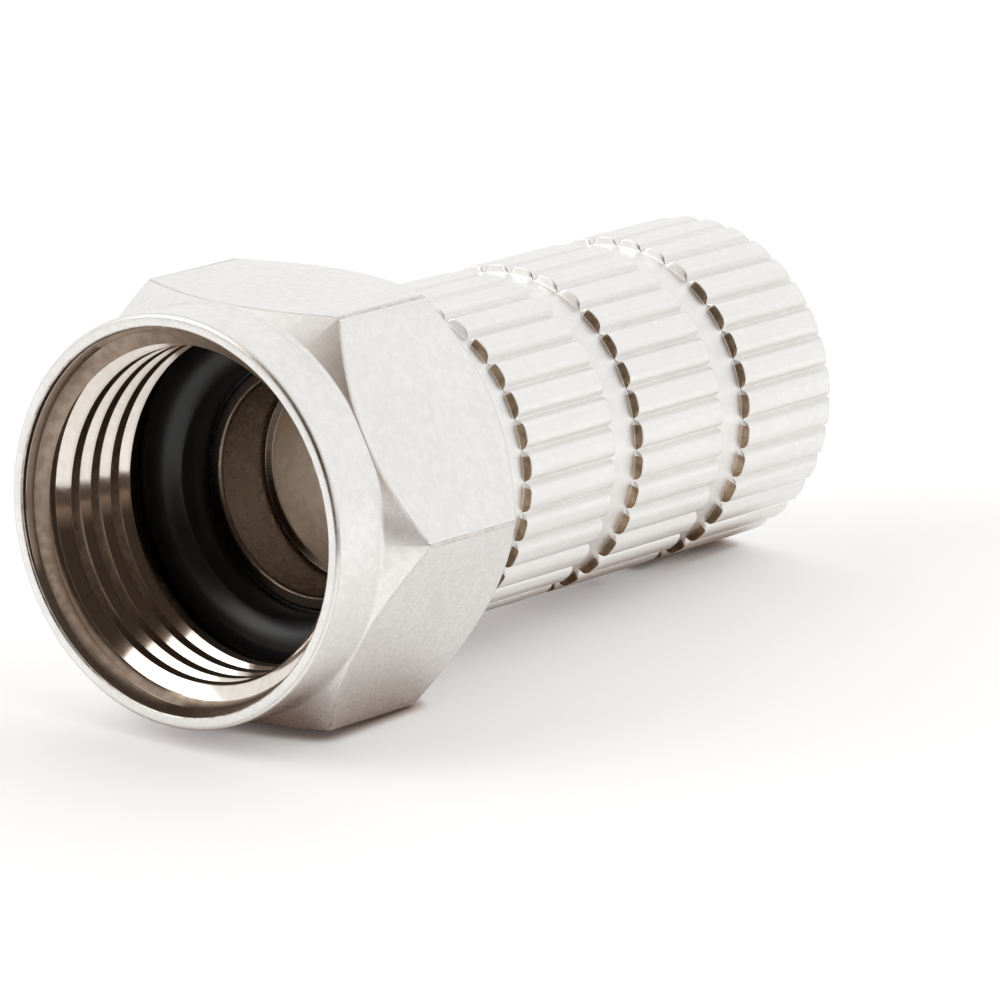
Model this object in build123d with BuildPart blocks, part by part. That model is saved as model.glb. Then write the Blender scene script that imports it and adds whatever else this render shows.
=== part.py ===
"""Twist-on F connector: a hexagonal coupling nut, a knurled cable body and a sealing ring.

The axis is X. The port thread in the nut's mouth begins at x = 0, and the cable enters at the
far end, towards +X. Two of the hexagon's flats are level, so the nut lies on one of them.
Sizes are millimetres, and places along X follow from the lengths, front to back.
"""
import os
from math import cos, pi, radians, tan

from build123d import *

# driving size: the major radius of the 3/8-32 port thread
thread_radius = 4.7625

# coupling nut, outside
nut_wall = 0.7375
collar_inset = 0.05
collar_length = 1.80
collar_edge_break = 0.08
front_chamfer_angle = 45
rear_chamfer_angle = 41
rear_face_inset = 0.28

# coupling nut, inside
mouth_bore_length = 0.50
mouth_bore_taper = 0.125
lead_in_length = 0.15
lead_in_depth = 0.22
thread_length = 3.30
pocket_depth = 0.19
pocket_ramp_length = 0.15
pocket_length = 2.15
flange_thickness = 1.40
flange_edge_break = 0.10

# cable body, front end that carries the nut
lip_pocket_gap = 0.80
lip_overhang = 0.73
lip_thickness = 0.40
neck_wall = 0.47
neck_clearance = 0.08
rim_wall = 0.42
rim_height = 0.15
rim_edge_break = 0.07
nut_end_play = 0.30
front_bore_length = 1.85
ledge_height = 0.25

# cable body, knurled bands that a spanner for the nut's flats passes over, and the bore in them
spanner_clearance = 0.98
shoulder_length = 1.50
band_lengths = (3.70, 3.65, 3.95)
ring_groove_width = 1.20
ring_groove_depth = 0.26
body_wall = 0.96
rear_edge_break = 0.18
ledge_bore_length = 5.85
cable_step_length = 0.30
entry_chamfer = 0.45

# straight knurl
tooth_count = 32
tooth_height = 0.23
tooth_groove_angle = 2.0
tooth_shoulder_drop = 0.07
tooth_groove_share = 0.68
tooth_shoulder_share = 0.23
tooth_floor_share = 0.04

# sealing ring
seal_rim_gap = 0.03
seal_pocket_gap = 0.10
seal_thickness = 1.50
seal_crown_height = 0.33

# how far a cutting shape runs past what it cuts
overrun = 0.40

# radii that follow from the thread, walls and clearances
apothem = thread_radius + nut_wall
corner_radius = apothem / cos(pi / 6)
collar_radius = apothem - collar_inset
rear_face_radius = apothem - rear_face_inset
lead_in_radius = thread_radius + lead_in_depth
mouth_radius = lead_in_radius + mouth_bore_taper
pocket_radius = thread_radius + pocket_depth
lip_radius = pocket_radius - lip_pocket_gap
neck_radius = lip_radius - lip_overhang
flange_bore_radius = neck_radius + neck_clearance
front_bore_radius = neck_radius - neck_wall
rim_radius = front_bore_radius + rim_wall
ledge_bore_radius = front_bore_radius - ledge_height
tip_radius = apothem - spanner_clearance
root_radius = tip_radius - tooth_height
groove_floor_radius = tip_radius - ring_groove_depth
cable_bore_radius = groove_floor_radius - body_wall
entry_radius = cable_bore_radius + entry_chamfer

# places along the axis
lead_in = -lead_in_length
mouth = lead_in - mouth_bore_length
collar_end = mouth + collar_length
flange_front = thread_length + pocket_length
nut_back = flange_front + flange_thickness
lip_front = flange_front - lip_thickness
rim_front = lip_front - rim_height
ledge = rim_front + front_bore_length
shoulder_front = nut_back + nut_end_play
knurl_front = shoulder_front + shoulder_length
cable_step_front = ledge + ledge_bore_length
cable_step_back = cable_step_front + cable_step_length
body_back = knurl_front + sum(band_lengths) + ring_groove_width * (len(band_lengths) - 1)


def lathe(points):
    """Turns a closed outline of (x, radius) points about the X axis."""
    with BuildPart() as turned:
        with BuildSketch(Plane.XY):
            with BuildLine():
                Polyline(*points, close=True)
            make_face()
        revolve(axis=Axis.X)
    return turned.part


# the collar, and the cones that take the hexagon's corners off at both ends
cone_radius = corner_radius + overrun
front_cone_length = (cone_radius - collar_radius) / tan(radians(front_chamfer_angle))
rear_cone_length = (cone_radius - rear_face_radius) / tan(radians(rear_chamfer_angle))
nut_envelope = [
    (mouth, 0),
    (mouth, collar_radius - collar_edge_break),
    (mouth + collar_edge_break, collar_radius),
    (collar_end, collar_radius),
    (collar_end + front_cone_length, cone_radius),
    (nut_back - rear_cone_length, cone_radius),
    (nut_back, rear_face_radius),
    (nut_back, 0),
]

# tapered mouth, lead-in, thread wall, seal pocket and the hole in the rear flange
nut_hollow = [
    (mouth - overrun, 0),
    (mouth - overrun, mouth_radius),
    (mouth, mouth_radius),
    (lead_in, lead_in_radius),
    (0, thread_radius),
    (thread_length, thread_radius),
    (thread_length + pocket_ramp_length, pocket_radius),
    (flange_front, pocket_radius),
    (flange_front, flange_bore_radius + flange_edge_break),
    (flange_front + flange_edge_break, flange_bore_radius),
    (nut_back - flange_edge_break, flange_bore_radius),
    (nut_back, flange_bore_radius + flange_edge_break),
    (nut_back + overrun, flange_bore_radius + flange_edge_break),
    (nut_back + overrun, 0),
]

with BuildPart() as coupling_nut:
    with BuildSketch(Plane.YZ.offset(mouth)):
        RegularPolygon(apothem, 6, major_radius=False)
    extrude(amount=nut_back - mouth)
    add(lathe(nut_envelope), mode=Mode.INTERSECT)
    add(lathe(nut_hollow), mode=Mode.SUBTRACT)

# outside of the body: rim, lip against the nut's flange, neck and shoulder
body_outline = [
    (rim_front, front_bore_radius + rim_edge_break),
    (rim_front, rim_radius - rim_edge_break),
    (rim_front + rim_edge_break, rim_radius),
    (lip_front, rim_radius),
    (lip_front, lip_radius),
    (flange_front, lip_radius),
    (flange_front, neck_radius),
    (shoulder_front, neck_radius),
    (shoulder_front, groove_floor_radius),
]

# bands for the knurl, parted by smooth ring grooves
band_front = knurl_front
for band_length in band_lengths:
    band_back = band_front + band_length
    body_outline += [(band_front, groove_floor_radius), (band_front, tip_radius)]
    if band_back < body_back - rear_edge_break:
        body_outline += [(band_back, tip_radius), (band_back, groove_floor_radius)]
    band_front = band_back + ring_groove_width

# rear edge, then the stepped bore back to the front rim
body_outline += [
    (body_back - rear_edge_break, tip_radius),
    (body_back, tip_radius - rear_edge_break),
    (body_back, entry_radius),
    (body_back - entry_chamfer, cable_bore_radius),
    (cable_step_back, cable_bore_radius),
    (cable_step_front, ledge_bore_radius),
    (ledge, ledge_bore_radius),
    (ledge, front_bore_radius),
    (rim_front + rim_edge_break, front_bore_radius),
]

# cross-section of one straight groove: steep sides below, sloping shoulders above, carried past the tips
tooth_pitch = 2 * pi * tip_radius / tooth_count
groove_mouth = tooth_pitch * tooth_groove_share
groove_shoulder = tooth_pitch * tooth_shoulder_share
groove_floor = tooth_pitch * tooth_floor_share
shoulder_radius = tip_radius - tooth_shoulder_drop
groove_section = [
    (root_radius, -groove_floor / 2),
    (shoulder_radius, -groove_shoulder / 2),
    (tip_radius, -groove_mouth / 2),
    (tip_radius + overrun, -groove_mouth / 2),
    (tip_radius + overrun, groove_mouth / 2),
    (tip_radius, groove_mouth / 2),
    (shoulder_radius, groove_shoulder / 2),
    (root_radius, groove_floor / 2),
]

with BuildPart() as cable_body:
    add(lathe(body_outline))
    with BuildSketch(Plane.YZ.offset(knurl_front - overrun)):
        with PolarLocations(0, tooth_count, start_angle=180 - tooth_groove_angle):
            Polygon(*groove_section, align=None)
    extrude(amount=body_back - knurl_front + 2 * overrun, mode=Mode.SUBTRACT)

# rubber section with a rounded front and its flat back on the body's lip
seal_inside = rim_radius + seal_rim_gap
seal_outside = pocket_radius - seal_pocket_gap
seal_middle = (seal_inside + seal_outside) / 2
seal_front = lip_front - seal_thickness
seal_round = seal_front + seal_crown_height

with BuildPart() as sealing_ring:
    with BuildSketch(Plane.XY):
        with BuildLine():
            ThreePointArc((seal_round, seal_inside), (seal_front, seal_middle), (seal_round, seal_outside))
            Polyline(
                (seal_round, seal_outside),
                (lip_front, seal_outside),
                (lip_front, seal_inside),
                (seal_round, seal_inside),
            )
        make_face()
    revolve(axis=Axis.X)

coupling_nut.part.label = "coupling_nut"
cable_body.part.label = "cable_body"
sealing_ring.part.label = "sealing_ring"

os.makedirs("parts", exist_ok=True)
export_step(coupling_nut.part, "parts/coupling_nut.step")
export_step(cable_body.part, "parts/cable_body.step")
export_step(sealing_ring.part, "parts/sealing_ring.step")
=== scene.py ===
"""Looks of a twist-on F connector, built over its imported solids.

Three finished meshes stand for the three solids and keep their form: a coupling nut with its port
thread, a knurled cable body with its jacket thread, and a moulded sealing ring. The axis is X, the wall
of the port thread begins at x = 0, and the cable enters towards +X. Sizes are in millimetres.
"""

import logging
import math
from collections.abc import Sequence
from dataclasses import dataclass
from enum import Enum

import bmesh
import bpy
import numpy as np
from bpy.types import Material, Mesh, Node, NodeSocket, NodeTree, Object
from mathutils import Matrix, Vector

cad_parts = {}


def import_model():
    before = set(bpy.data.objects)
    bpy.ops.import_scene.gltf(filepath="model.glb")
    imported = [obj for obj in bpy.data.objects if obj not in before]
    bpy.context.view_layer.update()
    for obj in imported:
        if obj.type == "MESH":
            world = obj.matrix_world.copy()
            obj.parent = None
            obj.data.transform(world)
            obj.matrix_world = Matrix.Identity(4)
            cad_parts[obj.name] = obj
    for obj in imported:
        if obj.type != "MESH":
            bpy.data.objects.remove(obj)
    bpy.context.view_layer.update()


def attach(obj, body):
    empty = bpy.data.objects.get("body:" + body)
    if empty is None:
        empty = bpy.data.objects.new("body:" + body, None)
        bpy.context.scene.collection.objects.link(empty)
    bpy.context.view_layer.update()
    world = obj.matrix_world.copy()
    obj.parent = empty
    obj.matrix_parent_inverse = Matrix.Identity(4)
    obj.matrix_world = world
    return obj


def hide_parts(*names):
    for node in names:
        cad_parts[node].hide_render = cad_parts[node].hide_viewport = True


LOG = logging.getLogger("connector")
MILLIMETRE = 0.001
WELD_DISTANCE = 1e-6
THIN_EDGE = WELD_DISTANCE / 10
ROUNDING_SHARE = 0.45
SPARE_TURNS = 2
CUT_SHARE = 0.5
IMAGE_WIDTH = 1000.0
THREAD_LENGTHS = (
    "pitch",
    "start",
    "length",
    "root_radius",
    "height",
    "mouth_depth",
    "mouth_length",
    "first_cut",
)
THREAD_NUMBERS = ("phase", "mouth_slope", "lead_in_slope", "run_out_slope")

Colour = tuple[float, float, float]
Triple = tuple[float, float, float]
Span = tuple[float, float]
Feed = NodeSocket | float
Values = dict[str | int, object]


class Carrier(Enum):
    """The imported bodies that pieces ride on."""

    SLEEVE = "body"
    NUT = "nut"


class Slot(Enum):
    """Names of the material slots."""

    NICKEL = "nickel"
    RUBBER = "seal_rubber"


@dataclass(frozen=True)
class Corner:
    """A corner of a turned outline: its place along the axis, its radius, and its rounding's reach."""

    along: float
    radius: float
    soft: float = 0.0


def rounded(corners: Sequence[Corner], steps: int = 3) -> np.ndarray:
    """Rounds the soft corners of an open outline.

    Args:
        corners: the outline's corners in order.
        steps: how many short edges stand for each rounding.

    Returns:
        One row of (along, radius) for each point of the rounded outline.
    """
    points = np.array([(corner.along, corner.radius) for corner in corners])
    shares = np.linspace(0.0, 1.0, steps + 1)
    outline = []
    for number, corner in enumerate(corners):
        here = points[number]
        if corner.soft == 0.0:
            outline.append(here)
            continue
        back = points[number - 1] - here
        ahead = points[number + 1] - here
        back_length = np.linalg.norm(back)
        ahead_length = np.linalg.norm(ahead)
        reach = min(corner.soft, ROUNDING_SHARE * back_length, ROUNDING_SHARE * ahead_length)
        start = here + back / back_length * reach
        end = here + ahead / ahead_length * reach
        for share in shares:
            outline.append((1 - share) ** 2 * start + 2 * share * (1 - share) * here + share**2 * end)
    return np.array(outline)


def turned_mesh(name: str, angles: np.ndarray, outlines: np.ndarray, closed: bool) -> Mesh:
    """Makes a mesh round the X axis from one outline for each angle.

    Args:
        name: the mesh's name.
        angles: the columns' angles about X, from +Y towards +Z.
        outlines: columns by rows of (along, radius) in millimetres.
        closed: whether the last row joins the first.

    Returns:
        The mesh, in metres, with four-sided faces.
    """
    columns, rows = outlines.shape[:2]
    along = outlines[:, :, 0]
    radius = outlines[:, :, 1]
    across = radius * np.cos(angles)[:, None]
    upward = radius * np.sin(angles)[:, None]
    points = np.stack((along, across, upward), axis=2).reshape(-1, 3) * MILLIMETRE
    faces = []
    for column in range(columns):
        near = column * rows
        far = (column + 1) % columns * rows
        for row in range(rows if closed else rows - 1):
            following = (row + 1) % rows
            faces.append((near + row, far + row, far + following, near + following))
    mesh = bpy.data.meshes.new(name)
    mesh.from_pydata(points.tolist(), [], faces)
    return mesh


def linked(name: str, data: object) -> Object:
    """Makes an object in the scene.

    Args:
        name: the object's name.
        data: its mesh, light or camera.

    Returns:
        The object, linked to the scene.
    """
    made = bpy.data.objects.new(name, data)
    bpy.context.scene.collection.objects.link(made)
    return made


def station_object(name: str, stations: np.ndarray) -> Object:
    """Makes a helper object whose points carry numbers for a node tree.

    Args:
        name: the helper's name.
        stations: one row of one to three numbers for each point.

    Returns:
        The helper object, linked to the scene.
    """
    points = np.zeros((len(stations), 3))
    points[:, : stations.shape[1]] = stations
    mesh = bpy.data.meshes.new(name)
    mesh.from_pydata(points.tolist(), [], [])
    return linked(name, mesh)


class NodeMaker:
    """Adds nodes to one tree and joins their sockets."""

    def __init__(self, tree: NodeTree) -> None:
        """Keeps the tree that the nodes go into."""
        self.tree = tree

    def node(self, kind: str, values: Values | None = None, **settings: object) -> Node:
        """Adds a node.

        Args:
            kind: the node's type name.
            values: what goes into its inputs.
            settings: its properties.

        Returns:
            The new node.
        """
        node = self.tree.nodes.new(kind)
        for name, setting in settings.items():
            setattr(node, name, setting)
        self.feed(node, values or {})
        return node

    def feed(self, node: Node, values: Values) -> None:
        """Links a node's inputs to sockets, or sets them to plain values.

        Args:
            node: the node.
            values: what goes into each input, by the input's name or number.
        """
        for label, value in values.items():
            if isinstance(value, NodeSocket):
                self.tree.links.new(value, node.inputs[label])
            else:
                node.inputs[label].default_value = value

    def math(self, operation: str, *values: Feed, clamp: bool = False) -> NodeSocket:
        """Adds a math node.

        Args:
            operation: the node's operation.
            values: its inputs, as sockets or numbers.
            clamp: whether the result stays from 0 to 1.

        Returns:
            The node's output.
        """
        node = self.node("ShaderNodeMath", dict(enumerate(values)), operation=operation, use_clamp=clamp)
        return node.outputs[0]

    def dot(self, vector: NodeSocket, toward: Sequence[float]) -> NodeSocket:
        """Gives how far a vector reaches in one direction."""
        node = self.node("ShaderNodeVectorMath", {0: vector, 1: toward}, operation="DOT_PRODUCT")
        return node.outputs["Value"]

    def smooth_step(self, value: Feed, low: float, high: float) -> NodeSocket:
        """Rises smoothly from 0 at low to 1 at high."""
        values = {"Value": value, "From Min": low, "From Max": high}
        return self.node("ShaderNodeMapRange", values, interpolation_type="SMOOTHSTEP").outputs["Result"]


class ShapeTree(NodeMaker):
    """A geometry node tree that lays a grid round the X axis by a rule."""

    def __init__(self, name: str, inputs: dict[str, str]) -> None:
        """Makes the tree.

        Args:
            name: the tree's name.
            inputs: the kind of each named input, next to the material.
        """
        super().__init__(bpy.data.node_groups.new(name, "GeometryNodeTree"))
        interface = self.tree.interface
        interface.new_socket(name="Geometry", in_out="OUTPUT", socket_type="NodeSocketGeometry")
        for label, kind in {**inputs, "material": "Material"}.items():
            interface.new_socket(name=label, in_out="INPUT", socket_type="NodeSocket" + kind)
        self.entry = self.node("NodeGroupInput")

    def given(self, label: str) -> NodeSocket:
        """Gives the tree's own input of that name."""
        return self.entry.outputs[label]

    def stations(self, label: str) -> tuple[NodeSocket, NodeSocket]:
        """Reads a helper object.

        Args:
            label: the object input's name.

        Returns:
            The helper's points and how many there are.
        """
        points = self.node("GeometryNodeObjectInfo", {"Object": self.given(label)}).outputs["Geometry"]
        size = self.node("GeometryNodeAttributeDomainSize", {"Geometry": points})
        return points, size.outputs["Point Count"]

    def sample(self, points: NodeSocket, index: Feed) -> Node:
        """Gives the numbers that one helper point carries.

        Args:
            points: the helper's points.
            index: which point.

        Returns:
            A node whose X, Y and Z outputs are the numbers.
        """
        position = self.node("GeometryNodeInputPosition").outputs[0]
        values = {"Geometry": points, "Value": position, "Index": index}
        sampler = self.node("GeometryNodeSampleIndex", values, data_type="FLOAT_VECTOR")
        return self.node("ShaderNodeSeparateXYZ", {0: sampler.outputs["Value"]})

    def grid(self, columns: Feed, rows: Feed) -> tuple[NodeSocket, ...]:
        """Adds the flat grid that a rule then moves.

        Args:
            columns: points round the axis.
            rows: points along the outline.

        Returns:
            The grid, and each point's column and row.
        """
        grid = self.node("GeometryNodeMeshGrid", {"Vertices X": columns, "Vertices Y": rows})
        index = self.node("GeometryNodeInputIndex").outputs[0]
        centred = self.math("ADD", index, 0.5)
        column = self.math("FLOOR", self.math("DIVIDE", centred, rows))
        row = self.math("FLOOR", self.math("SUBTRACT", centred, self.math("MULTIPLY", column, rows)))
        return grid.outputs["Mesh"], column, row

    def remainder(self, value: Feed, count: Feed) -> tuple[NodeSocket, NodeSocket]:
        """Divides whole numbers.

        Args:
            value: the number to divide.
            count: what it is divided by.

        Returns:
            The whole quotient and what remains.
        """
        quotient = self.math("FLOOR", self.math("DIVIDE", self.math("ADD", value, 0.5), count))
        return quotient, self.math("SUBTRACT", value, self.math("MULTIPLY", quotient, count))

    def close(self, mesh: NodeSocket, along: Feed, radius: Feed, angle: Feed) -> None:
        """Lays the grid round the axis, welds its seam and ends the tree.

        Args:
            mesh: the grid.
            along: each point's place along the axis.
            radius: each point's distance from the axis.
            angle: each point's angle about the axis.
        """
        across = self.math("MULTIPLY", radius, self.math("COSINE", angle))
        upward = self.math("MULTIPLY", radius, self.math("SINE", angle))
        place = self.node("ShaderNodeCombineXYZ", {"X": along, "Y": across, "Z": upward}).outputs[0]
        shape = mesh
        for kind, values in (
            ("GeometryNodeSetPosition", {"Position": place}),
            ("GeometryNodeMergeByDistance", {"Distance": WELD_DISTANCE}),
            ("GeometryNodeRealizeInstances", {}),
            ("GeometryNodeSetMaterial", {"Material": self.given("material")}),
        ):
            shape = self.node(kind, {"Geometry": shape, **values}).outputs[0]
        self.node("NodeGroupOutput", {"Geometry": shape})

    def run(self, name: str, values: dict[str, object]) -> Mesh:
        """Runs the tree once.

        Args:
            name: the resulting mesh's name.
            values: the value of each named input, where an array goes in as a helper object.

        Returns:
            The result as a plain mesh.
        """
        carrier = linked(name, bpy.data.meshes.new(name + "_start"))
        modifier = carrier.modifiers.new(name, "NODES")
        modifier.node_group = self.tree
        helpers = []
        for item in self.tree.interface.items_tree:
            if item.in_out != "INPUT":
                continue
            value = values[item.name]
            if isinstance(value, np.ndarray):
                value = station_object(f"{name}_{item.name}", value)
                helpers.append(value)
            modifier[item.identifier] = value
        graph = bpy.context.evaluated_depsgraph_get()
        mesh = bpy.data.meshes.new_from_object(carrier.evaluated_get(graph), depsgraph=graph)
        carrier.modifiers.remove(modifier)
        for helper in (carrier, *helpers):
            bpy.data.objects.remove(helper)
        mesh.materials.clear()
        mesh.materials.append(values["material"])
        return mesh


def thread_tree() -> ShapeTree:
    """Makes the tree for a right-handed inside thread.

    Returns:
        A tree whose ridges follow the helix from a shallow first cut in the mouth, and are cut down by
        the lead-in and the run-out.
    """
    numbers = dict.fromkeys(THREAD_LENGTHS + THREAD_NUMBERS, "Float")
    tree = ShapeTree("inside_thread", {"angles": "Object", "section": "Object", "turns": "Int", **numbers})
    angle_points, angle_count = tree.stations("angles")
    section_points, section_count = tree.stations("section")
    columns = tree.math("ADD", angle_count, 1.0)
    rows = tree.math("ADD", tree.math("MULTIPLY", tree.given("turns"), section_count), 1.0)
    mesh, column, row = tree.grid(columns, rows)

    lap, place = tree.remainder(column, angle_count)
    angle = tree.sample(angle_points, place).outputs["X"]
    angle = tree.math("ADD", angle, tree.math("MULTIPLY", lap, math.tau))
    turn, step = tree.remainder(row, section_count)
    section = tree.sample(section_points, step)
    phase = tree.math("ADD", tree.math("SUBTRACT", turn, float(SPARE_TURNS)), section.outputs["X"])
    phase = tree.math("ADD", phase, tree.math("DIVIDE", angle, math.tau))
    phase = tree.math("ADD", phase, tree.given("phase"))

    start = tree.given("start")
    end = tree.math("ADD", start, tree.given("length"))
    along = tree.math("ADD", start, tree.math("MULTIPLY", phase, tree.given("pitch")))
    along = tree.math("MINIMUM", tree.math("MAXIMUM", along, start), end)
    depth = tree.math("SUBTRACT", along, start)
    slope = tree.given("mouth_slope")
    steeper = tree.math("SUBTRACT", tree.given("lead_in_slope"), slope)
    past_mouth = tree.math("MAXIMUM", tree.math("SUBTRACT", depth, tree.given("mouth_length")), 0.0)
    lead_in = tree.math("SUBTRACT", tree.math("MULTIPLY", depth, slope), tree.given("mouth_depth"))
    lead_in = tree.math("ADD", lead_in, tree.math("MULTIPLY", past_mouth, steeper))
    cut = tree.math("MINIMUM", tree.given("first_cut"), tree.math("MULTIPLY", depth, CUT_SHARE))
    floor = tree.math("MINIMUM", tree.math("SUBTRACT", lead_in, cut), 0.0)
    run_out = tree.math("MULTIPLY", tree.math("SUBTRACT", end, along), tree.given("run_out_slope"))
    full = tree.math("SUBTRACT", tree.given("height"), floor)
    ridge = tree.math("ADD", tree.math("MULTIPLY", section.outputs["Y"], full), floor)
    ridge = tree.math("MINIMUM", ridge, tree.math("MINIMUM", lead_in, run_out))
    tree.close(mesh, along, tree.math("SUBTRACT", tree.given("root_radius"), ridge), angle)
    return tree


def knurl_tree() -> ShapeTree:
    """Makes the tree for a turned sleeve with a straight knurl.

    Returns:
        A tree that turns an outline and presses a tooth section into what stands above its roots.
    """
    inputs = {"outline": "Object", "tooth": "Object", "teeth": "Int", "first_groove": "Float"}
    tree = ShapeTree("straight_knurl", inputs)
    outline_points, rows = tree.stations("outline")
    tooth_points, tooth_count = tree.stations("tooth")
    teeth = tree.given("teeth")
    columns = tree.math("ADD", tree.math("MULTIPLY", teeth, tooth_count), 1.0)
    mesh, column, row = tree.grid(columns, rows)

    tooth, step = tree.remainder(column, tooth_count)
    section = tree.sample(tooth_points, step)
    outline = tree.sample(outline_points, row)
    turned = tree.math("DIVIDE", tree.math("ADD", tooth, section.outputs["X"]), teeth)
    angle = tree.math("ADD", tree.math("MULTIPLY", turned, math.tau), tree.given("first_groove"))
    radius = tree.math("MINIMUM", outline.outputs["Y"], section.outputs["Y"])
    tree.close(mesh, outline.outputs["X"], radius, angle)
    return tree


@dataclass(frozen=True)
class InsideThread:
    """An inside thread, with its phase in turns and its ridge in shares of the pitch."""

    pitch: float
    start: float
    length: float
    root_radius: float
    height: float
    ridge: Triple
    ridge_soft: float
    ridge_steps: int
    lead_in_slope: float
    run_out_slope: float
    phase: float = 0.0
    mouth_depth: float = 0.0
    mouth_length: float = 0.0
    mouth_slope: float = 0.0
    first_cut: float = 0.0

    def section(self) -> np.ndarray:
        """Gives one pitch of the thread.

        Returns:
            Rows of (share of the pitch, share of the height).
        """
        foot, crest_start, crest_end = self.ridge
        corners = [
            Corner(0.0, 0.0),
            Corner(foot, 0.0, self.ridge_soft),
            Corner(crest_start, 1.0, self.ridge_soft),
            Corner(crest_end, 1.0, self.ridge_soft),
            Corner(1.0, 0.0),
        ]
        return rounded(corners, self.ridge_steps)[:-1]

    def sheet(self, name: str, tree: ShapeTree, angles: np.ndarray, material: Material) -> Mesh:
        """Makes the thread's sheet.

        Args:
            name: the sheet's name.
            tree: the inside thread's tree.
            angles: the columns' angles about X.
            material: the sheet's finish.

        Returns:
            The sheet between the two ends of the thread's wall.
        """
        values = {label: getattr(self, label) * MILLIMETRE for label in THREAD_LENGTHS}
        values.update((label, getattr(self, label)) for label in THREAD_NUMBERS)
        values["angles"] = angles[:, None]
        values["section"] = self.section()
        values["turns"] = math.ceil(self.length / self.pitch) + SPARE_TURNS
        values["material"] = material
        return tree.run(name, values)


def welded_piece(name: str, meshes: Sequence[Mesh]) -> Object:
    """Joins sheets that share their edges into one closed piece.

    Args:
        name: the piece's name.
        meshes: the sheets, each with its own material.

    Returns:
        The piece, with outward faces, shading that keeps flats flat, and an edge attribute for the edge
        colour, which on the thread and in the hollow is painted shade.
    """
    joined = bmesh.new()
    materials = []
    for number, sheet in enumerate(meshes):
        first = len(joined.faces)
        joined.from_mesh(sheet)
        joined.faces.ensure_lookup_table()
        for face in joined.faces[first:]:
            face.material_index = number
        materials.append(sheet.materials[0])
    bmesh.ops.remove_doubles(joined, verts=joined.verts, dist=WELD_DISTANCE)
    bmesh.ops.dissolve_degenerate(joined, edges=joined.edges, dist=THIN_EDGE)
    bmesh.ops.recalc_face_normals(joined, faces=joined.faces)
    edge_layer = joined.verts.layers.float.new("edge")
    for vertex in joined.verts:
        turns = [edge.calc_face_angle_signed(0.0) for edge in vertex.link_edges]
        vertex[edge_layer] = max(turns, key=abs)
    for face in joined.faces:
        face.smooth = True
    mesh = bpy.data.meshes.new(name)
    joined.to_mesh(mesh)
    joined.free()
    for material in materials:
        mesh.materials.append(material)

    rough = linked(name + "_rough", mesh)
    weighted = rough.modifiers.new("flat_faces", "WEIGHTED_NORMAL")
    weighted.keep_sharp = True
    graph = bpy.context.evaluated_depsgraph_get()
    finished = bpy.data.meshes.new_from_object(
        rough.evaluated_get(graph), preserve_all_data_layers=True, depsgraph=graph
    )
    finished.name = name
    bpy.data.objects.remove(rough)
    bpy.data.meshes.remove(mesh)
    return linked(name, finished)


class FinishMaker(NodeMaker):
    """A material's nodes, on the piece's own Object coordinates."""

    def __init__(self, name: str) -> None:
        """Makes the material with an unset shader.

        Args:
            name: the material's name.
        """
        self.material = bpy.data.materials.new(name)
        self.material.use_nodes = True
        super().__init__(self.material.node_tree)
        self.tree.nodes.clear()
        self.coordinates = self.node("ShaderNodeTexCoord").outputs["Object"]
        self.shader = self.node("ShaderNodeBsdfPrincipled")
        self.node("ShaderNodeOutputMaterial", {"Surface": self.shader.outputs["BSDF"]})

    def noise(self, grain: float, detail: float = 2.0, stretch: Triple = (1.0, 1.0, 1.0)) -> NodeSocket:
        """Adds a noise pattern.

        Args:
            grain: the size of its patches, in millimetres.
            detail: how many finer layers it has.
            stretch: how many times longer the patches are along X, Y and Z.

        Returns:
            The pattern's value.
        """
        scale = 1.0 / (grain * MILLIMETRE)
        scales = [scale / length for length in stretch]
        place = self.node("ShaderNodeMapping", {"Vector": self.coordinates, "Scale": scales}).outputs[0]
        values = {"Vector": place, "Scale": 1.0, "Detail": detail}
        return self.node("ShaderNodeTexNoise", values).outputs["Fac"]

    def between(self, share: Feed, low: Feed, high: Feed) -> NodeSocket:
        """Goes from the low number to the high one as the share goes from 0 to 1."""
        values = {"Value": share, "To Min": low, "To Max": high}
        return self.node("ShaderNodeMapRange", values).outputs["Result"]

    def mixed(self, first: Feed, second: Feed, first_share: float) -> NodeSocket:
        """Adds two patterns in shares that make up one."""
        rest = self.math("MULTIPLY", second, 1.0 - first_share)
        return self.math("MULTIPLY_ADD", first, first_share, rest)

    def tint(self, share: Feed, low: NodeSocket | Colour, high: NodeSocket | Colour) -> NodeSocket:
        """Mixes two colours.

        Args:
            share: how much of the high colour there is, from 0 to 1.
            low: the colour at 0.
            high: the colour at 1.

        Returns:
            The mixed colour.
        """
        node = self.node("ShaderNodeMix", {"Factor": share}, data_type="RGBA")
        places = [number for number, socket in enumerate(node.inputs) if socket.type == "RGBA"]
        for place, colour in zip(places, (low, high)):
            self.feed(node, {place: colour if isinstance(colour, NodeSocket) else (*colour, 1.0)})
        return next(socket for socket in node.outputs if socket.type == "RGBA")

    def bump(self, height: Feed, depth: float, under: NodeSocket | None = None) -> NodeSocket:
        """Adds relief.

        Args:
            height: the relief's pattern.
            depth: its height in millimetres.
            under: the normal of the relief below it, if any.

        Returns:
            The changed normal.
        """
        values = {"Distance": depth * MILLIMETRE, "Height": height}
        if under is not None:
            values["Normal"] = under
        return self.node("ShaderNodeBump", values).outputs["Normal"]


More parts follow.
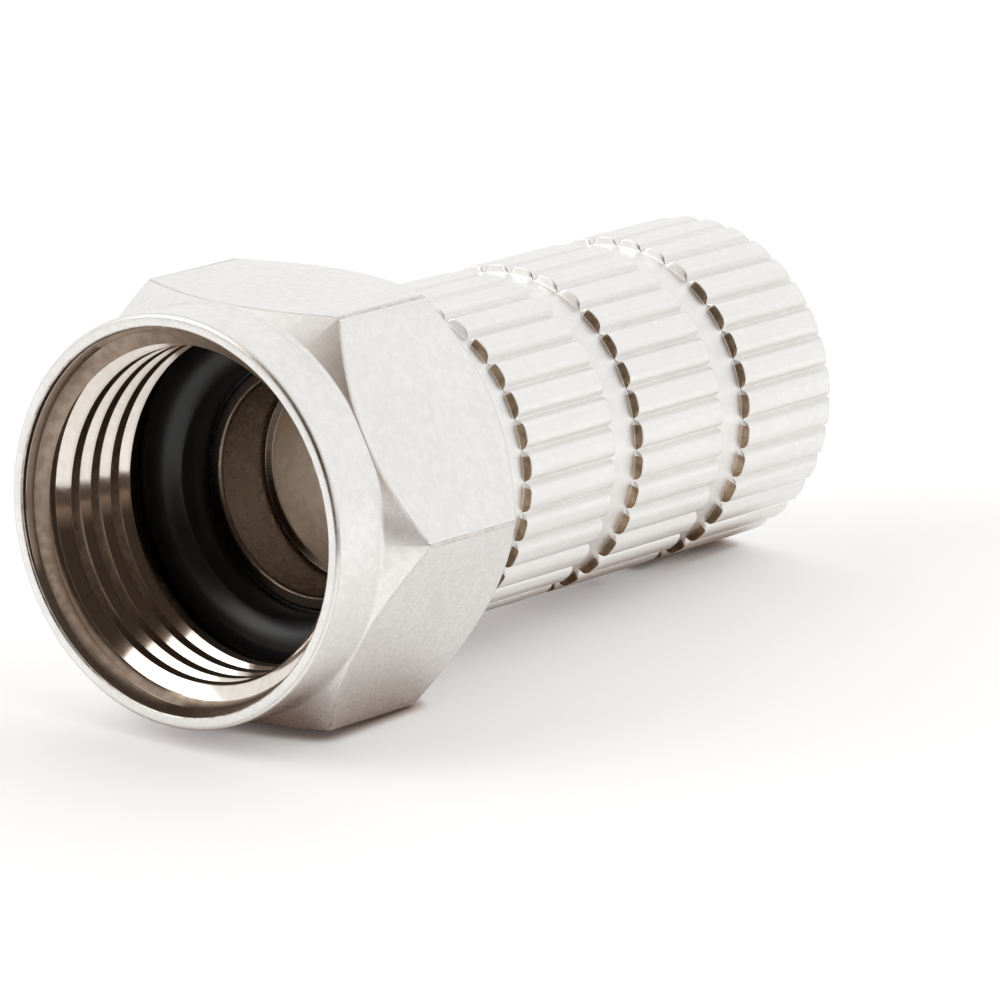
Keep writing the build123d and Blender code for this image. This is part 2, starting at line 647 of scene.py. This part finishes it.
@dataclass(frozen=True)
class NickelFinish:
    """Nickel plating over brass, with a plated grain, tool lines and its own colour on convex edges, which
    on the thread and in the hollow is painted shade.
    """

    name: str
    bright: Colour = (0.90, 0.89, 0.873)
    dull: Colour = (0.80, 0.788, 0.77)
    edge_wear_and_shade: Colour = (0.42, 0.36, 0.31)
    smooth: float = 0.22
    rough: float = 0.34
    cloud: float = 1.6
    grain: float = 0.26
    grain_depth: float = 0.0007
    grain_levels: Span = (0.34, 0.66)
    tint_share: float = 0.45
    polish_share: float = 0.4
    tool_line: float = 0.035
    tool_depth: float = 0.0006
    tool_stretch: Triple = (1.0, 60.0, 60.0)
    edge_wear_and_shade_turns: Span = (0.12, 0.45)
    edge_wear_and_shade_cover: Span = (0.4, 1.0)

    def material(self) -> Material:
        """Builds the plating's nodes.

        Returns:
            The material.
        """
        maker = FinishMaker(self.name)
        clouds = maker.noise(self.cloud, detail=3.0)
        grain = maker.noise(self.grain)
        lines = maker.noise(self.tool_line, detail=1.0, stretch=self.tool_stretch)
        edge = maker.node("ShaderNodeAttribute", attribute_name="edge").outputs["Fac"]
        on_edge = maker.smooth_step(edge, *self.edge_wear_and_shade_turns)
        speckle = maker.smooth_step(grain, *self.grain_levels)

        plated = maker.tint(maker.mixed(speckle, clouds, self.tint_share), self.dull, self.bright)
        # convex edges move towards the edge colour; on the thread and in the hollow that colour is painted
        # shade
        edge_share = maker.math("MULTIPLY", on_edge, maker.between(speckle, *self.edge_wear_and_shade_cover))
        polish = maker.mixed(speckle, clouds, self.polish_share)
        values = {
            "Base Color": maker.tint(edge_share, plated, self.edge_wear_and_shade),
            "Metallic": 1.0,
            "Roughness": maker.between(polish, self.rough, self.smooth),
            "Normal": maker.bump(grain, self.grain_depth, maker.bump(lines, self.tool_depth)),
        }
        maker.feed(maker.shader, values)
        return maker.material


class Plating(Enum):
    """The connector's nickel finishes."""

    FLATS = NickelFinish("nickel_plating")
    KNURL = NickelFinish(
        "knurl_nickel",
        bright=(0.94, 0.933, 0.92),
        dull=(0.87, 0.86, 0.842),
        edge_wear_and_shade=(0.80, 0.78, 0.75),
        smooth=0.34,
        rough=0.46,
        grain_depth=0.004,
    )
    # painted shade: dark brown on the lower parts of the teeth's front ends
    STAIN = NickelFinish(
        "cut_nickel",
        bright=(0.58, 0.44, 0.31),
        dull=(0.15, 0.095, 0.055),
        edge_wear_and_shade=(0.36, 0.25, 0.16),
        grain=0.40,
    )
    # painted shade: a darker brown copy of the nickel for the nut's hollow away from the front flanks
    TURNED = NickelFinish(
        "turned_nickel",
        bright=(0.46, 0.365, 0.29),
        dull=(0.29, 0.22, 0.17),
        edge_wear_and_shade=(0.26, 0.19, 0.14),
        smooth=0.32,
        rough=0.46,
        grain_depth=0.0006,
        tool_depth=0.0010,
    )
    # the port thread's front flanks; its dark edge colour is painted shade on the ridges' rounded edges
    THREAD = NickelFinish(
        "thread_nickel",
        bright=(0.86, 0.81, 0.76),
        dull=(0.74, 0.67, 0.60),
        edge_wear_and_shade=(0.28, 0.21, 0.16),
        smooth=0.06,
        rough=0.14,
        grain_depth=0.0006,
        tool_depth=0.0004,
    )
    # painted shade: a dark brown copy of the nickel for the bore in front of the ledge
    FRONT_BORE = NickelFinish(
        "front_bore_nickel",
        bright=(0.32, 0.26, 0.215),
        dull=(0.27, 0.22, 0.18),
        edge_wear_and_shade=(0.32, 0.26, 0.215),
        grain_depth=0.0004,
        tool_depth=0.0004,
    )
    # painted shade: a near-black copy of the nickel for the rim's front face; its edges keep a lighter
    # colour
    RIM = NickelFinish(
        "rim_nickel", bright=(0.13, 0.10, 0.08), dull=(0.09, 0.07, 0.055), edge_wear_and_shade=(0.40, 0.32, 0.25)
    )
    LEDGE_BORE = NickelFinish(
        "bore_nickel",
        bright=(0.95, 0.82, 0.70),
        dull=(0.84, 0.71, 0.60),
        edge_wear_and_shade=(0.95, 0.82, 0.70),
        smooth=0.45,
        rough=0.60,
        grain_depth=0.0006,
    )


@dataclass(frozen=True)
class RubberFinish:
    """Black moulded rubber with a faint bloom."""

    name: str
    deep: Colour = (0.013, 0.013, 0.014)
    bloom: Colour = (0.036, 0.036, 0.039)
    cloud: float = 0.9
    smooth: float = 0.26
    rough: float = 0.36
    grain: float = 0.05
    grain_depth: float = 0.0008

    def material(self) -> Material:
        """Builds the rubber's nodes.

        Returns:
            The material.
        """
        maker = FinishMaker(self.name)
        clouds = maker.noise(self.cloud, detail=3.0)
        values = {
            "Base Color": maker.tint(clouds, self.deep, self.bloom),
            "Roughness": maker.between(clouds, self.smooth, self.rough),
            "Normal": maker.bump(maker.noise(self.grain), self.grain_depth),
        }
        maker.feed(maker.shader, values)
        return maker.material


@dataclass
class CouplingNut:
    """The hexagonal nut: collar, chamfered hexagon, port thread, seal pocket and rear flange."""

    outside: Material
    flank: Material
    # the darker copy of the nickel that paints shade in the hollow
    turned: Material
    thread_radius: float = 4.7625
    thread_length: float = 3.30
    thread_pitch: float = 0.79375
    thread_height: float = 0.36
    thread_phase: float = 0.964
    thread_start: float = -0.55
    first_cut: float = 0.10
    plain_end: float = 0.05
    apothem: float = 5.50
    corner_round: float = 0.10
    corner_steps: tuple[float, ...] = (0.25, 0.5, 0.75, 1.2, 2.0, 3.0, 4.5, 6.0)
    side_step: float = 2.0
    collar_radius: float = 5.45
    collar_end: float = 1.15
    edge_break: float = 0.08
    front_chamfer: float = 45.0
    rear_chamfer: float = 41.0
    rear_face_radius: float = 5.22
    mouth: float = -0.65
    mouth_radius: float = 5.1075
    mouth_edge: float = 0.04
    lead_in: float = -0.15
    lead_in_radius: float = 4.9825
    pocket_radius: float = 4.9525
    pocket_ramp: float = 0.15
    flange_front: float = 5.45
    flange_bore: float = 3.5025
    flange_break: float = 0.10
    back: float = 6.85
    flank_lean: float = -0.8

    def angles(self) -> np.ndarray:
        """Gives the columns' angles, close together at the hexagon's corners.

        Returns:
            The angles about X.
        """
        half = [*self.corner_steps, *np.arange(self.corner_steps[-1] + self.side_step, 30.0, self.side_step)]
        sector = [0.0, *half, 30.0, *(60.0 - step for step in reversed(half))]
        return np.radians([60.0 * side + step for side in range(6) for step in sector])

    def hexagon_radius(self, angle: float) -> float:
        """Gives the rounded hexagon's radius.

        Args:
            angle: the angle from +Y.

        Returns:
            The distance from the axis to the hexagon's side or rounded corner.
        """
        from_corner = (angle + math.pi / 6) % (math.pi / 3) - math.pi / 6
        flat = self.apothem / math.cos(math.pi / 6 - abs(from_corner))
        centre = (self.apothem - self.corner_round) / math.cos(math.pi / 6)
        inside = self.corner_round**2 - (centre * math.sin(from_corner)) ** 2
        if inside <= 0.0:
            return flat
        return min(flat, centre * math.cos(from_corner) + math.sqrt(inside))

    def mouth_slope(self) -> float:
        """Gives how fast the mouth narrows towards the lead-in."""
        return (self.mouth_radius - self.lead_in_radius) / (self.lead_in - self.mouth)

    def start_radius(self) -> float:
        """Gives the mouth's radius where the thread's first cut begins."""
        return self.mouth_radius - self.mouth_slope() * (self.thread_start - self.mouth)

    def outline(self, angle: float) -> np.ndarray:
        """Gives the outline at one angle, from the thread's outer end round to its inner end.

        Args:
            angle: the angle from +Y.

        Returns:
            Rows of (along, radius).
        """
        side = self.hexagon_radius(angle)
        front = self.collar_end + (side - self.collar_radius) / math.tan(math.radians(self.front_chamfer))
        rear = self.back - (side - self.rear_face_radius) / math.tan(math.radians(self.rear_chamfer))
        flange_edge = self.flange_bore + self.flange_break
        return rounded(
            [
                Corner(self.thread_start, self.start_radius()),
                Corner(self.mouth, self.mouth_radius, 0.05),
                Corner(self.mouth, self.collar_radius - self.edge_break, 0.04),
                Corner(self.mouth + self.edge_break, self.collar_radius, 0.04),
                Corner(self.collar_end, self.collar_radius, 0.08),
                Corner(front, side, 0.06),
                Corner(rear, side, 0.06),
                Corner(self.back, self.rear_face_radius, 0.06),
                Corner(self.back, flange_edge, 0.03),
                Corner(self.back - self.flange_break, self.flange_bore, 0.03),
                Corner(self.flange_front + self.flange_break, self.flange_bore, 0.03),
                Corner(self.flange_front, flange_edge, 0.03),
                Corner(self.flange_front, self.pocket_radius, 0.08),
                Corner(self.thread_length + self.pocket_ramp, self.pocket_radius, 0.04),
                Corner(self.thread_length, self.thread_radius, 0.03),
                Corner(self.thread_length - self.plain_end, self.thread_radius),
            ]
        )

    def thread(self) -> InsideThread:
        """Gives the port thread, which begins in the mouth."""
        return InsideThread(
            pitch=self.thread_pitch,
            start=self.thread_start,
            length=self.thread_length - self.plain_end - self.thread_start,
            root_radius=self.thread_radius,
            height=self.thread_height,
            ridge=(0.12, 0.39, 0.79),
            ridge_soft=0.02,
            ridge_steps=3,
            lead_in_slope=1.2,
            run_out_slope=3.0,
            phase=self.thread_phase,
            mouth_depth=self.start_radius() - self.thread_radius,
            mouth_length=self.lead_in - self.thread_start,
            mouth_slope=self.mouth_slope(),
            first_cut=self.first_cut,
        )

    def build(self, tree: ShapeTree) -> Object:
        """Builds the finished nut.

        Args:
            tree: the inside thread's tree.

        Returns:
            The nut's piece.
        """
        angles = self.angles()
        outlines = np.array([self.outline(angle) for angle in angles])
        shell = turned_mesh("nut_shell", angles, outlines, closed=False)
        shell.materials.append(self.outside)
        port_thread = self.thread().sheet("port_thread", tree, angles, self.flank)
        return welded_piece("coupling_nut_finished", [shell, port_thread])

    def dress(self, piece: Object) -> None:
        """Gives the thread's front flanks their own finish, and paints shade on the rest of the hollow with
        the darker turned finish.

        Args:
            piece: the finished nut.
        """
        finishes = piece.data.materials
        finishes.append(self.turned)
        _, flank, turned = range(len(finishes))
        for face in piece.data.polygons:
            centre = face.center / MILLIMETRE
            radius = math.hypot(centre.y, centre.z)
            if radius < self.mouth_radius and self.mouth + self.mouth_edge < centre.x < self.flange_front:
                # faces in the hollow that don't face the mouth take the darker copy as painted shade
                face.material_index = flank if face.normal.x < self.flank_lean else turned


@dataclass
class CableBody:
    """The turned sleeve: rim, lip, neck, knurled bands with ring grooves, and the cable bore."""

    sleeve_finish: Material
    ledge_bore_finish: Material
    # the dark finish that paints shade on the teeth's front ends
    tooth_shade_finish: Material
    # the dark finish that paints shade in the front bore
    front_bore_shade_finish: Material
    # the near-black finish that paints shade on the rim's front face
    rim_shade_finish: Material
    rim_front: float = 4.90
    rim_break: float = 0.07
    rim_radius: float = 3.3725
    lip_front: float = 5.05
    lip_radius: float = 4.1525
    lip_back: float = 5.45
    neck_radius: float = 3.4225
    shoulder_front: float = 7.15
    groove_floor: float = 4.26
    tip_radius: float = 4.52
    root_radius: float = 4.29
    bands: tuple[Span, ...] = ((8.65, 12.35), (13.55, 17.20), (18.40, 22.35))
    rear_break: float = 0.18
    front_bore: float = 2.9525
    ledge: float = 6.75
    ledge_bore: float = 2.7025
    step_front: float = 12.60
    step_back: float = 12.90
    cable_bore: float = 3.30
    entry: float = 0.45
    teeth: int = 32
    groove_angle: float = 2.0
    groove_share: float = 0.68
    shoulder_share: float = 0.23
    shoulder_drop: float = 0.07
    floor_share: float = 0.04
    jacket_pitch: float = 1.50
    jacket_height: float = 0.20
    jacket_slope: float = 0.4
    plain_end: float = 0.10
    margin: float = 0.01
    rim_lean: float = -0.9
    end_lean: float = -0.3
    # where the painted shade on the tooth ends reaches; each tooth's upper edge and the top teeth stay
    # unshaded
    tooth_shade_reach: float = 0.05
    tooth_shade_drop: float = 0.03
    unshaded_share: float = 0.22
    unshaded_height: float = 0.85

    def outline(self) -> np.ndarray:
        """Gives the turned outline from the cable bore's front end round to its rear end.

        Returns:
            Rows of (along, radius).
        """
        back = self.bands[-1][1]
        corners = [
            Corner(self.step_back + self.plain_end, self.cable_bore),
            Corner(self.step_back, self.cable_bore, 0.05),
            Corner(self.step_front, self.ledge_bore, 0.05),
            Corner(self.ledge, self.ledge_bore, 0.04),
            Corner(self.ledge, self.front_bore, 0.04),
            Corner(self.rim_front + self.rim_break, self.front_bore, 0.03),
            Corner(self.rim_front, self.front_bore + self.rim_break, 0.03),
            Corner(self.rim_front, self.rim_radius - self.rim_break, 0.03),
            Corner(self.rim_front + self.rim_break, self.rim_radius, 0.03),
            Corner(self.lip_front, self.rim_radius, 0.02),
            Corner(self.lip_front, self.lip_radius, 0.04),
            Corner(self.lip_back, self.lip_radius, 0.04),
            Corner(self.lip_back, self.neck_radius, 0.03),
            Corner(self.shoulder_front, self.neck_radius, 0.03),
            Corner(self.shoulder_front, self.groove_floor, 0.06),
        ]
        for front, rear in self.bands:
            corners += [Corner(front, self.groove_floor, 0.05), Corner(front, self.tip_radius, 0.05)]
            if rear < back:
                corners += [Corner(rear, self.tip_radius, 0.05), Corner(rear, self.groove_floor, 0.05)]
        corners += [
            Corner(back - self.rear_break, self.tip_radius, 0.05),
            Corner(back, self.tip_radius - self.rear_break, 0.05),
            Corner(back, self.cable_bore + self.entry, 0.05),
            Corner(back - self.entry, self.cable_bore, 0.05),
            Corner(back - self.entry - self.plain_end, self.cable_bore),
        ]
        return rounded(corners)

    def tooth(self) -> np.ndarray:
        """Gives one pitch of the knurl, from the middle of a tooth over a groove.

        Returns:
            Rows of (share of the pitch, radius).
        """
        pitch = math.tau * self.tip_radius / self.teeth
        mouth = pitch * self.groove_share / 2
        shoulder = pitch * self.shoulder_share / 2
        floor = pitch * self.floor_share / 2
        shoulder_radius = self.tip_radius - self.shoulder_drop
        section = rounded(
            [
                Corner(-pitch / 2, self.tip_radius),
                Corner(-mouth, self.tip_radius, 0.09),
                Corner(-shoulder, shoulder_radius, 0.07),
                Corner(-floor, self.root_radius, 0.01),
                Corner(floor, self.root_radius, 0.01),
                Corner(shoulder, shoulder_radius, 0.07),
                Corner(mouth, self.tip_radius, 0.09),
                Corner(pitch / 2, self.tip_radius),
            ],
            steps=2,
        )[:-1]
        section[:, 0] /= pitch
        return section

    def angles(self) -> np.ndarray:
        """Gives the columns' angles, in the knurl tree's own order.

        Returns:
            The angles about X.
        """
        shares = self.tooth()[:, 0]
        turns = (np.arange(self.teeth)[:, None] + shares[None, :]).ravel() / self.teeth
        return turns * math.tau + self.first_groove()

    def first_groove(self) -> float:
        """Gives the angle of the first groove's middle."""
        return math.pi - math.radians(self.groove_angle)

    def sleeve(self, tree: ShapeTree) -> Mesh:
        """Makes the knurled sleeve's sheet.

        Args:
            tree: the knurl's tree.

        Returns:
            The sheet, open where the jacket thread goes.
        """
        values = {
            "outline": self.outline() * MILLIMETRE,
            "tooth": self.tooth() * (1.0, MILLIMETRE),
            "teeth": self.teeth,
            "first_groove": self.first_groove(),
            "material": self.sleeve_finish,
        }
        return tree.run("knurled_sleeve", values)

    def jacket_thread(self) -> InsideThread:
        """Gives the coarse thread that grips the cable's jacket."""
        start = self.step_back + self.plain_end
        return InsideThread(
            pitch=self.jacket_pitch,
            start=start,
            length=self.bands[-1][1] - self.entry - self.plain_end - start,
            root_radius=self.cable_bore,
            height=self.jacket_height,
            ridge=(0.50, 0.70, 0.80),
            ridge_soft=0.05,
            ridge_steps=1,
            lead_in_slope=self.jacket_slope,
            run_out_slope=self.jacket_slope,
        )

    def build(self, knurl: ShapeTree, thread: ShapeTree) -> Object:
        """Builds the finished body.

        Args:
            knurl: the knurl's tree.
            thread: the inside thread's tree.

        Returns:
            The body's piece.
        """
        sleeve = self.sleeve(knurl)
        jacket = self.jacket_thread().sheet("jacket_thread", thread, self.angles(), self.ledge_bore_finish)
        return welded_piece("cable_body_finished", [sleeve, jacket])

    def dress(self, piece: Object) -> None:
        """Gives the ledge bore its own finish, and paints shade with darker finishes on the tooth ends, the
        front bore and its rim.

        Args:
            piece: the finished body.
        """
        finishes = piece.data.materials
        for finish in (self.tooth_shade_finish, self.front_bore_shade_finish, self.rim_shade_finish):
            finishes.append(finish)
        sleeve, ledge_bore, tooth_shade, front_bore, rim = range(len(finishes))
        for face in piece.data.polygons:
            centre = face.center / MILLIMETRE
            radius = math.hypot(centre.y, centre.z)
            # the rim's front face takes the near-black copy as painted shade
            if radius < self.rim_radius and centre.x < self.rim_front + self.rim_break:
                face.material_index = rim if face.normal.x < self.rim_lean else front_bore
            # the front bore takes its dark copy as painted shade
            elif radius < self.rim_radius and centre.x < self.ledge + self.margin:
                face.material_index = front_bore
            elif centre.x > self.step_front and radius < self.cable_bore + self.margin:
                face.material_index = sleeve
            elif radius < self.ledge_bore + self.margin:
                face.material_index = ledge_bore
            # painted shade on the lower parts of the teeth's front ends
            elif face.normal.x < self.end_lean and self.on_tooth_shade(centre, radius):
                face.material_index = tooth_shade

    def on_tooth_shade(self, centre: Vector, radius: float) -> bool:
        """Tells whether a face lies on the part of a tooth's front end that gets painted shade.

        Args:
            centre: the middle of the face.
            radius: its distance from the axis.

        Returns:
            Whether it is at a band's front, below the tips, off a tooth's upper edge and off the top teeth.
        """
        at_front = any(abs(centre.x - front) < self.tooth_shade_reach for front, _ in self.bands)
        turn = (math.atan2(centre.z, centre.y) - self.first_groove()) / math.tau * self.teeth
        share = (turn + 0.5) % 1.0 - 0.5
        on_end = radius < self.tip_radius - self.tooth_shade_drop and not 0.0 < share < self.unshaded_share
        return at_front and on_end and centre.z < self.unshaded_height * radius


@dataclass
class SealingRing:
    """The rubber ring: a rounded front and a flat back on the body's lip."""

    rubber: Material
    inside: float = 3.4025
    outside: float = 4.8525
    front: float = 3.55
    crown: float = 0.33
    back: float = 5.05
    columns: int = 192
    arc_steps: int = 24

    def build(self) -> Object:
        """Builds the finished ring.

        Returns:
            The ring's piece.
        """
        middle = (self.inside + self.outside) / 2
        half = (self.outside - self.inside) / 2
        arc_radius = (half**2 + self.crown**2) / (2 * self.crown)
        reach = math.asin(half / arc_radius)
        turns = np.linspace(-reach, reach, self.arc_steps + 1)
        arc_along = self.front + arc_radius - arc_radius * np.cos(turns)
        arc = np.stack((arc_along, middle + arc_radius * np.sin(turns)), axis=1)
        shoulder = self.front + self.crown
        base = rounded(
            [
                Corner(shoulder, self.outside),
                Corner(self.back, self.outside, 0.06),
                Corner(self.back, self.inside, 0.06),
                Corner(shoulder, self.inside),
            ]
        )[1:-1]
        outline = np.concatenate((arc, base))
        angles = np.arange(self.columns) / self.columns * math.tau
        outlines = np.repeat(outline[None], self.columns, axis=0)
        mesh = turned_mesh("seal_section", angles, outlines, closed=True)
        mesh.materials.append(self.rubber)
        return welded_piece("sealing_ring_finished", [mesh])


@dataclass
class Studio:
    """The pale floor under the resting connector, the soft light and the camera."""

    nut_contact: Span = (6.528, -5.50)
    body_contact: Span = (22.17, -4.52)
    floor_reach: float = 1500.0
    floor_colour: Colour = (0.93, 0.93, 0.93)
    floor_dim: float = 0.985
    floor_cloud: float = 40.0
    floor_rough: float = 0.9
    floor_gloss: float = 0.1
    floor_white: float = 0.22
    table_toward: Triple = (-0.797, -0.603, 0.0)
    table_edge: Span = (32.0, 42.0)
    table_colour: Colour = (0.075, 0.048, 0.032)
    # painted contact shadow on the floor: how far it reaches, its levels and its brown colour
    contact_shadow_reach: Span = (0.45, 2.2)
    contact_shadow_levels: Span = (0.15, 0.95)
    contact_shadow_colour: Colour = (0.54, 0.41, 0.35)
    room_toward: Triple = (-0.88, -0.25, 0.40)
    room_stops: tuple[tuple[float, Colour], ...] = (
        (0.00, (0.97, 0.97, 0.97)),
        (0.68, (1.0, 0.99, 0.97)),
        (0.80, (0.36, 0.26, 0.19)),
        (0.90, (0.045, 0.031, 0.023)),
    )
    lamp_place: Triple = (-363.0, 275.0, 308.0)
    lamp_aim: Triple = (10.0, 0.0, 0.0)
    lamp_side: float = 360.0
    lamp_watts: float = 0.65
    azimuth: float = -52.879
    elevation: float = 14.055
    roll: float = 1.651
    target: Triple = (9.35, 0.0, 0.0)
    target_seen: Triple = (-2.3152, 1.1706, -220.0)
    focal_pixels: float = 8271.8
    sensor_width: float = 36.0
    clip: Span = (10.0, 10000.0)

    def floor(self) -> Object:
        """Makes the floor, which touches the nut's lower flat and the body's rear rim.

        Returns:
            The floor's object.
        """
        along = self.body_contact[0] - self.nut_contact[0]
        slope = (self.body_contact[1] - self.nut_contact[1]) / along
        far = self.floor_reach * MILLIMETRE
        start = self.nut_contact[0] * MILLIMETRE
        level = self.nut_contact[1] * MILLIMETRE
        points = [
            (x, y, level + (x - start) * slope)
            for x, y in ((-far, -far), (far, -far), (far, far), (-far, far))
        ]
        mesh = bpy.data.meshes.new("studio_floor")
        mesh.from_pydata(points, [], [(0, 1, 2, 3)])
        mesh.materials.append(self.paper())
        return linked("studio_floor", mesh)

    def paper(self) -> Material:
        """Builds the floor's nodes: white paper with a painted brown contact shadow from ambient occlusion,
        that ends at a dark table.

        Returns:
            The material.
        """
        maker = FinishMaker("floor_paper")
        clouds = maker.noise(self.floor_cloud)
        dim = tuple(self.floor_dim * part for part in self.floor_colour)
        toward = maker.dot(maker.coordinates, self.table_toward)
        table = maker.smooth_step(toward, *(edge * MILLIMETRE for edge in self.table_edge))
        rays = maker.node("ShaderNodeLightPath").outputs
        # painted contact shadow: ambient occlusion darkens the paper towards brown and takes away its glow;
        # glossy rays see it reach further
        seen_reach, mirrored_reach = (reach * MILLIMETRE for reach in self.contact_shadow_reach)
        reach = maker.between(rays["Is Glossy Ray"], seen_reach, mirrored_reach)
        contact_occlusion = maker.node("ShaderNodeAmbientOcclusion", {"Distance": reach}, samples=8)
        clear = maker.smooth_step(contact_occlusion.outputs["AO"], *self.contact_shadow_levels)
        white = maker.tint(clear, self.contact_shadow_colour, maker.tint(clouds, dim, self.floor_colour))
        seen = maker.math("MAXIMUM", rays["Is Camera Ray"], rays["Is Glossy Ray"])
        seen = maker.math("MAXIMUM", seen, rays["Is Transmission Ray"])
        glow = maker.math("MULTIPLY", maker.math("SUBTRACT", clear, table, clamp=True), self.floor_white)
        values = {
            "Base Color": maker.tint(table, white, self.table_colour),
            "Roughness": self.floor_rough,
            "Specular IOR Level": self.floor_gloss,
            "Emission Color": (1.0, 1.0, 1.0, 1.0),
            "Emission Strength": maker.math("MULTIPLY", seen, glow),
        }
        maker.feed(maker.shader, values)
        return maker.material

    def surround(self) -> None:
        """Makes the white surround, with the dark room behind the camera that metal mirrors."""
        world = bpy.data.worlds.new("studio_surround")
        bpy.context.scene.world = world
        world.use_nodes = True
        maker = NodeMaker(world.node_tree)
        maker.tree.nodes.clear()
        direction = maker.node("ShaderNodeTexCoord").outputs["Generated"]
        toward = maker.dot(direction, Vector(self.room_toward).normalized())
        seen = maker.node("ShaderNodeLightPath").outputs["Is Camera Ray"]
        unseen = maker.math("SUBTRACT", 1.0, seen)
        room = maker.node("ShaderNodeValToRGB", {"Fac": maker.math("MULTIPLY", toward, unseen)})
        stops = room.color_ramp.elements
        while len(stops) < len(self.room_stops):
            stops.new(1.0)
        for stop, (place, colour) in zip(stops, self.room_stops):
            stop.position = place
            stop.color = (*colour, 1.0)
        background = maker.node("ShaderNodeBackground", {"Color": room.outputs["Color"], "Strength": 1.0})
        maker.node("ShaderNodeOutputWorld", {"Surface": background.outputs[0]})

    def lamp(self) -> None:
        """Adds the soft lamp that the thread's flanks mirror."""
        data = bpy.data.lights.new("key_softbox", "AREA")
        data.shape = "SQUARE"
        data.size = self.lamp_side * MILLIMETRE
        data.energy = self.lamp_watts
        points = (self.lamp_place, self.lamp_aim)
        place, aim = (Vector([part * MILLIMETRE for part in point]) for point in points)
        lamp = linked("key_softbox", data)
        lamp.location = place
        lamp.rotation_mode = "QUATERNION"
        lamp.rotation_quaternion = (aim - place).to_track_quat("-Z", "Y")

    def camera(self) -> None:
        """Places the camera at the photograph's viewing angle."""
        azimuth = math.radians(self.azimuth)
        elevation = math.radians(self.elevation)
        roll = math.radians(self.roll)
        back = Vector(
            (
                math.sin(azimuth) * math.cos(elevation),
                -math.cos(azimuth) * math.cos(elevation),
                math.sin(elevation),
            )
        )
        level_right = Vector((math.cos(azimuth), math.sin(azimuth), 0.0))
        level_up = back.cross(level_right)
        right = math.cos(roll) * level_right + math.sin(roll) * level_up
        up = math.cos(roll) * level_up - math.sin(roll) * level_right
        seen = self.target_seen
        place = Vector(self.target) - (right * seen[0] + up * seen[1] + back * seen[2])
        data = bpy.data.cameras.new("viewpoint")
        data.sensor_width = self.sensor_width
        data.lens = self.sensor_width * self.focal_pixels / IMAGE_WIDTH
        data.clip_start, data.clip_end = (distance * MILLIMETRE for distance in self.clip)
        camera = linked("viewpoint", data)
        turn = Matrix((right, up, back)).transposed()
        camera.matrix_world = Matrix.Translation(place * MILLIMETRE) @ turn.to_4x4()
        bpy.context.scene.camera = camera

    def build(self) -> None:
        """Builds the floor, the light and the camera."""
        self.floor()
        self.surround()
        self.lamp()
        self.camera()
        bpy.context.scene.view_settings.view_transform = "Standard"


def settle(piece: Object, carrier: Carrier, node: str) -> None:
    """Makes a finished piece stand for its solid.

    Args:
        piece: the finished piece.
        carrier: the body that it moves with.
        node: the solid's node.
    """
    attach(piece, carrier.value)
    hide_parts(node)
    LOG.info("%s: %d faces, rides on %s", piece.name, len(piece.data.polygons), carrier.value)


def main() -> None:
    """Builds the connector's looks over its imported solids."""
    logging.basicConfig(level=logging.INFO)
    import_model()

    nickel = {plating: plating.value.material() for plating in Plating}
    rubber = RubberFinish("black_rubber").material()
    thread = thread_tree()
    knurl = knurl_tree()

    nut = CouplingNut(nickel[Plating.FLATS], nickel[Plating.THREAD], nickel[Plating.TURNED])
    nut_piece = nut.build(thread)
    nut.dress(nut_piece)
    settle(nut_piece, Carrier.NUT, "coupling_nut")

    body = CableBody(
        sleeve_finish=nickel[Plating.KNURL],
        ledge_bore_finish=nickel[Plating.LEDGE_BORE],
        tooth_shade_finish=nickel[Plating.STAIN],
        front_bore_shade_finish=nickel[Plating.FRONT_BORE],
        rim_shade_finish=nickel[Plating.RIM],
    )
    body_piece = body.build(knurl, thread)
    body.dress(body_piece)
    settle(body_piece, Carrier.SLEEVE, "cable_body")

    ring_piece = SealingRing(rubber).build()
    settle(ring_piece, Carrier.SLEEVE, "sealing_ring")

    Studio().build()


if __name__ == "__main__":
    main()
